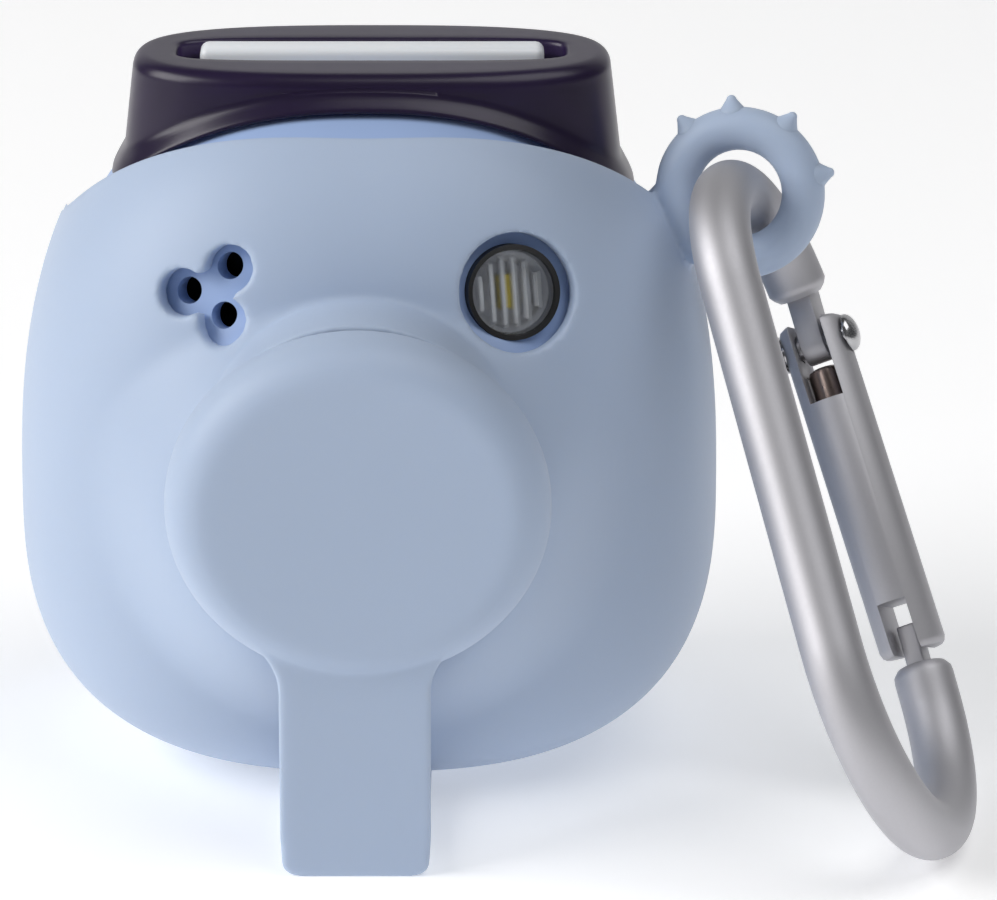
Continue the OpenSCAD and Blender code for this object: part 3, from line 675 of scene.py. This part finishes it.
# ================================================================ smoky ring on the dome
def build_ring():
    """Collar whose foot follows the dome; rows run up its inner wall, over the top and down outside."""
    n = 240
    plan, hole = superellipse(RING_E, n), superellipse(SLOT_E, n)
    shoulder, ceiling = RING_Z - 1.0, RING_Z - RING_T
    level = np.full(n, shoulder)
    rows = []

    def outer(z, off):
        """Wall at a height, moved out by off."""
        k = np.clip((shoulder - z) / (shoulder - RING_LEAN_Z), 0, 1)
        x = RING_X + (RING_A + RING_LEAN_A * k + off) * plan[0]
        return x, RING_Y + (RING_B + RING_LEAN_B * k + off) * plan[1]

    def slot(off):
        """Edge of the slot, moved out by off."""
        return RING_X + (SLOT_A + off) * hole[0], RING_Y + (SLOT_B + off) * hole[1]

    def foot(off):
        """Height where the wall meets the dome."""
        z = np.full(n, 42.0)
        for _ in range(30):
            z = 0.5 * z + 0.5 * dome_z(*outer(z, off), DOME_GAP)
        return np.maximum(z, FOOT_MIN)

    def add(xy, z):
        rows.append(np.stack([*xy, np.broadcast_to(z, (n,))], 1).tolist())

    def across(start, end, shares, z):
        """Flat rows between two outlines."""
        for k in shares:
            add([a + (b - a) * k for a, b in zip(start, end)], z)

    # inner wall and the rounding under the ceiling
    low = foot(-RING_T)
    add(outer(low, -RING_T), low)
    for k in range(1, 9):
        z = low + (ceiling - CEILING_ROUND - low) * k / 8
        add(outer(z, -RING_T), z)
    for a in (math.radians(30), math.radians(60), math.radians(90)):
        off = -RING_T - CEILING_ROUND * (1 - math.cos(a))
        add(outer(level, off), ceiling - CEILING_ROUND * (1 - math.sin(a)))
    # ceiling and the wall of the slot
    across(outer(level, -RING_T - CEILING_ROUND), slot(0.0), (0.33, 0.66), ceiling)
    for z in (ceiling, ceiling + 0.05, RING_Z - 0.35):
        add(slot(0.0), z)
    for a in (math.radians(30), math.radians(60), math.radians(90)):
        add(slot(SLOT_ROUND * (1 - math.cos(a))), RING_Z - SLOT_ROUND * (1 - math.sin(a)))
    # top face and its outer edge
    across(slot(SLOT_ROUND), outer(level, -EDGE_R), (0.25, 0.5, 0.75, 1.0), RING_Z)
    for a in (math.radians(d) for d in range(10, 91, 10)):
        add(outer(level, -EDGE_R * (1 - math.sin(a))), RING_Z - EDGE_R * (1 - math.cos(a)))
    # outer wall and the flared foot
    bottom = foot(0.0) + FLARE_H
    for k in range(1, 11):
        z = shoulder - 0.1 + (bottom - shoulder + 0.1) * k / 10
        add(outer(z, 0), z)
    flare = ((0.03, 1.0), (0.12, 0.82), (0.28, 0.66), (0.44, 0.5), (0.58, 0.36), (0.65, 0.26), (0.66, 0.14),
             (0.6, 0.03), (0.5, 0.0), (0.2, 0.0), (-0.4, 0.0))
    for off, up in flare:
        z = foot(off) + up
        add(outer(z, off), z)
    return loft("smoky_ring", rows, closed=True)


def build_ring_ribs():
    """Ribs under the ring's ceiling, two in front and one behind."""
    ribs = (((-11.0, -6.2, 44.9), (11.6, -5.3, 45.5)),
            ((-4.3, -6.2, 44.2), (4.2, -5.3, 44.95)),
            ((-6.2, 4.0, 44.3), (6.8, 4.8, 45.5)))
    return shade(joined("ring_ribs", [bevel(box("rib", a, b), 0.1) for a, b in ribs]))


put(build_ring(), M_SMOKE, "ring", "detachable_ring", slot="smoke")
# the ribs carry painted light, a lighter purple seen through the smoky ring
put(build_ring_ribs(), M_TAB_PAINTED_LIGHT, "ring", slot="smoke")

rail = bevel(box("rail_bar", (-10.8, -0.75, 42.0), (11.4, 1.65, RING_Z + 0.02)), 0.55, 4)
put(shade(rail, 40), M_RAIL, "camera", "ring_rail", slot="rail")


# ================================================================ flash
def put_flash(ob, mat, *nodes, slot):
    """Sets a piece drawn on the Z axis into the flash opening."""
    put(shade(placed(ob, FLASH_AT)), mat, "camera", *nodes, slot=slot)


def build_flash():
    rim = [(2.72, -1.25), (3.02, -1.2), (3.02, -3.6), (2.6, -3.6), (2.62, -1.6)]
    put_flash(lathe("flash_rim", rim, "Z", n=96), M_BLACK, slot="black")
    r, edge, crown = 2.74, -1.65, 0.78
    turns = [math.radians(a) for a in range(10, 91, 10)]
    glass = [(0, edge + crown)] + [(r * math.sin(t), edge + crown * math.cos(t)) for t in turns]
    glass += [(r, -2.3), (0, -2.3)]
    put_flash(lathe("flash_lens", glass, "Z", n=96), M_GLASS, "flash_window", slot="glass")
    bowl = [(0, -3.5), (1.9, -3.5), (2.55, -2.3), (2.95, -2.3), (2.95, -5.0), (0, -5.0)]
    put_flash(lathe("flash_bowl", bowl, "Z", n=72), M_REFL, "flash_reflector", slot="reflector")
    count, pitch, reach, half = 6, 0.72, 2.1, 0.14
    bars = []
    for k in range(count):
        y = (k - (count - 1) / 2) * pitch
        x = math.sqrt(reach ** 2 - y * y)
        bars.append(bevel(box("bar", (-x, y - half, -2.75), (x, y + half, -2.35)), 0.07))
    put_flash(joined("flash_ribs", bars), M_RIB, slot="glass")
    chip = bevel(box("flash_chip", (-1.05, -0.5, -3.48), (1.05, 0.5, -2.8)), 0.1)
    put_flash(chip, M_LED, "flash_led", slot="led")


build_flash()


# ================================================================ carabiner
def build_hook():
    """Bent rod with a flat tongue for the gate's fork and a nose for the gate's end."""
    low_x, low_z = LOW_R - TOP_R, -(CLIP_L - LOW_R)
    tip_x, root_z = low_x + LOW_R, PIVOT.z + 3.2
    top_end = math.degrees(math.asin((root_z + TOP_R) / TOP_R))
    bend = [(x, 0, z) for x, z in arc(0, -TOP_R, TOP_R, top_end, 180, 69)]
    spine = [(-TOP_R, 0, -TOP_R + (low_z + TOP_R) * k / 30) for k in range(1, 31)]
    basket = [(x, 0, z) for x, z in arc(low_x, low_z, LOW_R, 182, 360, 79)]
    tip = [(tip_x, 0, low_z + 2.2 * k / 6) for k in range(1, 7)]
    path = bend + spine + basket + tip
    radii = [ROD_R] * len(path)
    radii[:2] = ROD_R - 0.55, ROD_R - 0.2
    radii[-2:] = ROD_R - 0.05, ROD_R - 0.35
    rod = sweep("rod", path, radii, 56)
    outline = arc(PIVOT.x, PIVOT.z, TONGUE_R, 180, 360, 19)
    outline += [(PIVOT.x + TONGUE_R, PIVOT.z + 3.8), (PIVOT.x - 1.6, PIVOT.z + 3.8)]
    tongue = bevel(prism("tongue", outline, -TONGUE_T / 2, TONGUE_T / 2, "Y"), 0.12, angle=50)
    nose = box("nose", (tip_x - 1.25, -NOSE_HALF, low_z + 2.0), (tip_x + 0.75, NOSE_HALF, low_z + 4.9))
    hook = joined("carabiner_rod", [rod, tongue, bevel(nose, 0.15, 3)])
    return shade(placed(hook, CLIP_FRAME), 35)


def build_gate():
    """Round bar with a fork at the pivot, a bore for the spring and a slot for the nose."""
    prof = [(0, 1.5), (GATE_R - 0.45, 1.5), (GATE_R - 0.12, 1.3), (GATE_R, 1.0), (GATE_R, -GATE_L + 0.5),
            (GATE_R - 0.12, -GATE_L + 0.15), (GATE_R - 0.3, -GATE_L), (0, -GATE_L)]
    gate = lathe("carabiner_latch", prof, "Z", n=72)
    combine(gate, box("fork", (-5, -FORK_HALF, -FORK_DEPTH), (5, FORK_HALF, 5)))
    combine(gate, tube("pin_hole", PIN_HOLE, -5, 5, "Y", n=40))
    combine(gate, tube("bore", SPRING_BORE, -14, -2, "Z", n=40))
    combine(gate, box("slot", (-5, -NOSE_SLOT_HALF, -GATE_L - 1), (5, NOSE_SLOT_HALF, NOSE_SLOT_L - GATE_L)))
    return shade(placed(bevel(gate, 0.1, angle=35), GATE_FRAME), 35)


def build_rivet():
    """Pin through the fork with a domed head on each side."""
    at = (PIVOT.x, PIVOT.z)
    parts = [tube("pin", RIVET_R, -2.4, 2.4, "Y", at, 40)]
    turns = [math.radians(a) for a in range(12, 91, 13)]
    for s in (-1, 1):
        prof = [(0, s * 2.95)] + [(RIVET_HEAD * math.sin(t), s * (2.28 + 0.67 * math.cos(t))) for t in turns]
        parts.append(lathe("head", prof + [(RIVET_HEAD, s * 2.25), (0, s * 2.25)], "Y", at, 48))
    return shade(placed(joined("rivet_pin", parts), CLIP_FRAME), 40)


def build_plunger():
    prof = [(0, -1.62), (0.7, -1.66), (1.05, -1.82), (1.16, -2.1), (1.16, -6.1), (0, -6.1)]
    return shade(placed(lathe("plunger_pin", prof, "Z", n=48), GATE_FRAME), 40)


def build_spring():
    n = COIL_TURNS * 28
    path = []
    for k in range(n + 1):
        t = 2 * math.pi * COIL_TURNS * k / n
        path.append((COIL_R * math.cos(t), COIL_R * math.sin(t), COIL_LOW + COIL_L * k / n))
    return placed(sweep("gate_coil", path, [COIL_WIRE] * len(path), 10), GATE_FRAME)


put(build_hook(), M_ALU, "hook", "carabiner_body", slot="aluminium")
put(build_gate(), M_ALU, "gate", "carabiner_gate", slot="aluminium")
put(build_rivet(), M_STEEL, "hook", "gate_rivet", slot="steel")
put(build_plunger(), M_SPRING, "gate", "gate_plunger", slot="steel")
put(build_spring(), M_STEEL, "gate", "gate_spring", slot="steel")


# ================================================================ controls
def build_shutter():
    """Round release button with a slightly hollow face and a ring groove."""
    r, face = 6.3, 18.35
    prof = [(0, face)] + [(x, face - 0.12 * (x / 5.2) ** 2) for x in (1, 2, 3, 4, 5)]
    prof += [(5.55, 18.12), (5.9, 17.95), (6.15, 17.65), (r, 17.2), (r, 13.9), (6.9, 13.85), (6.9, 12.8),
             (1.5, 12.7), (1.5, 6.6), (0, 6.6)]
    button = lathe("release_button", prof, "Y", (0, SHUTTER_Z), 120)
    groove = [(4.9, 18.1), (5.15, 18.1), (5.15, 18.6), (4.9, 18.6)]
    combine(button, lathe("groove", groove, "Y", (0, SHUTTER_Z), 120))
    return shade(button, 30)


def build_key():
    prof = [(0, 20.5), (1.6, 20.48), (2.2, 20.35), (2.45, 20.05), (2.5, 19.6), (2.5, 17.4), (3.05, 17.35),
            (3.05, 16.65), (0, 16.6)]
    return shade(lathe("power_key", prof, "X", (CTRL_Y, SIDE_Z), 72))


def build_slider():
    """Slider's head and foot, with three grip bars."""
    head = box("head", (16.9, CTRL_Y - 2.4, SLIDE_Z - 1.1), (20.45, CTRL_Y - 0.2, SLIDE_Z + 1.1))
    foot = box("foot", (15.8, CTRL_Y - 3.9, SLIDE_Z - 1.8), (16.9, CTRL_Y + 1.3, SLIDE_Z + 1.8))
    parts = [bevel(head, 0.25, 3), bevel(foot, 0.1)]
    for k in (-0.6, 0, 0.6):
        y = CTRL_Y - 1.3 + k
        bar = box("bar", (20.4, y - 0.12, SLIDE_Z - 0.85), (20.62, y + 0.12, SLIDE_Z + 0.85))
        parts.append(bevel(bar, 0.05))
    return shade(joined("mode_key", parts))


def build_port():
    """Flap cut out of the camera's wall, with a notch for a fingernail."""
    flap = pillow("side_flap", 0.0, 240, 140)
    combine(flap, pillow("inside", -1.3, 160, 90))
    outline = box("outline", (-30, PORT_Y - 3.5, PORT_Z - 6.7), (-15, PORT_Y + 3.5, PORT_Z + 6.7))
    combine(flap, outline, "INTERSECT")
    notch = box("notch", (-22, PORT_Y - 1.4, PORT_Z + 5.3), (-20.2, PORT_Y + 1.4, PORT_Z + 5.9))
    combine(flap, bevel(notch, 0.2, 3))
    return shade(bevel(flap, 0.2, angle=45), 35)


put(build_shutter(), M_BUTTON, "shutter", "shutter_button", slot="button")
put(build_key(), M_BUTTON, "power", "power_button", slot="button")
put(build_slider(), M_BLACK, "mode", "mode_slider", slot="black")
put(build_port(), M_SILICONE, "port", "port_cover", slot="silicone")

# ================================================================ finishes for the CAD pieces that stay
for node, mat in {
    "lens_barrel": M_BLACK, "lens_front_glass": M_LENS, "lens_elements": M_LENS, "lens_spacer": M_BLACK,
    "image_sensor": M_CHIP, "sensor_board": M_PCB, "sensor_flex": M_FLEX, "main_board": M_PCB,
    "board_chips": M_CHIP, "battery": M_FOIL, "speaker": M_DEEP, "speaker_mesh": M_DEEP,
    "flash_board": M_PCB, "shutter_switch": M_CHIP, "usb_connector": M_STEEL, "card_socket": M_STEEL,
    "memory_card": M_BLACK, "tripod_nut": M_BRASS, "cover_screws": M_STEEL, "status_light": M_LIGHT,
}.items():
    shade(paint(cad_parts[node], mat), 35)


# ================================================================ stage, lights, camera
def build_stage():
    """Seamless pale sweep that rises behind the object."""
    front, half, start, r, top = -1200, 2500, 1600, 900, 3000
    prof = [(front, 0)] + arc(start, r, r, -90, 0, 15) + [(start + r, top)]
    v = [(x, y, z) for y, z in prof for x in (-half, half)]
    f = [(2 * i, 2 * i + 1, 2 * i + 3, 2 * i + 2) for i in range(len(prof) - 1)]
    floor = make("floor_sweep", v, f)
    white = material("floor_white", (0.93, 0.93, 0.935), 0.6, drift=0.005, bump=0.02, grain_scale=300)
    glow = white.node_tree.nodes["Principled BSDF"]
    glow.inputs["Emission Color"].default_value = (1, 1, 1, 1)
    glow.inputs["Emission Strength"].default_value = 0.32
    paint(floor, white)


def area_light(name, at, look, size, watts, color=(1, 1, 1)):
    """Rectangular light at a place, looking at another, both in metres."""
    lamp = bpy.data.lights.new(name, "AREA")
    lamp.shape = "RECTANGLE"
    lamp.size, lamp.size_y = size
    lamp.energy = watts
    lamp.color = color
    ob = bpy.data.objects.new(name, lamp)
    scene.collection.objects.link(ob)
    ob.location = at
    ob.rotation_euler = (Vector(look) - Vector(at)).to_track_quat("-Z", "Y").to_euler()


build_stage()
area_light("key_soft", (-0.68, -0.2, 0.42), (0, 0, 0.02), (0.6, 0.5), 5.4, (1.0, 0.99, 0.98))
area_light("front_fill", (0.35, -0.9, 0.45), (0, 0, 0.02), (0.6, 0.5), 0.06)
area_light("right_edge", (0.5, 0.3, 0.3), (0.01, 0, 0.02), (0.15, 0.5), 0.05)
area_light("top_soft", (0.32, -0.2, 0.78), (0, 0, 0), (0.6, 0.6), 2.6)

world = bpy.data.worlds.new("studio") if scene.world is None else scene.world
scene.world = world
world.use_nodes = True
sky = world.node_tree.nodes.get("Background") or world.node_tree.nodes.new("ShaderNodeBackground")
sky.inputs["Color"].default_value = (0.95, 0.97, 1.0, 1)
sky.inputs["Strength"].default_value = 0.09

scene.view_settings.view_transform = "Standard"
scene.view_settings.look = "None"
scene.view_settings.exposure = 0.0

cam_data = bpy.data.cameras.new("photo_camera")
cam_data.sensor_width = SENSOR
cam_data.lens = SENSOR * DISTANCE / FIELD
cam_data.clip_start, cam_data.clip_end = 0.01, 20
cam = bpy.data.objects.new("photo_camera", cam_data)
scene.collection.objects.link(cam)
cam.location = (TARGET + DISTANCE * Vector((0, -math.cos(ELEVATION), math.sin(ELEVATION)))) * MM
cam.rotation_euler = (math.pi / 2 - ELEVATION, 0, 0)
scene.camera = cam
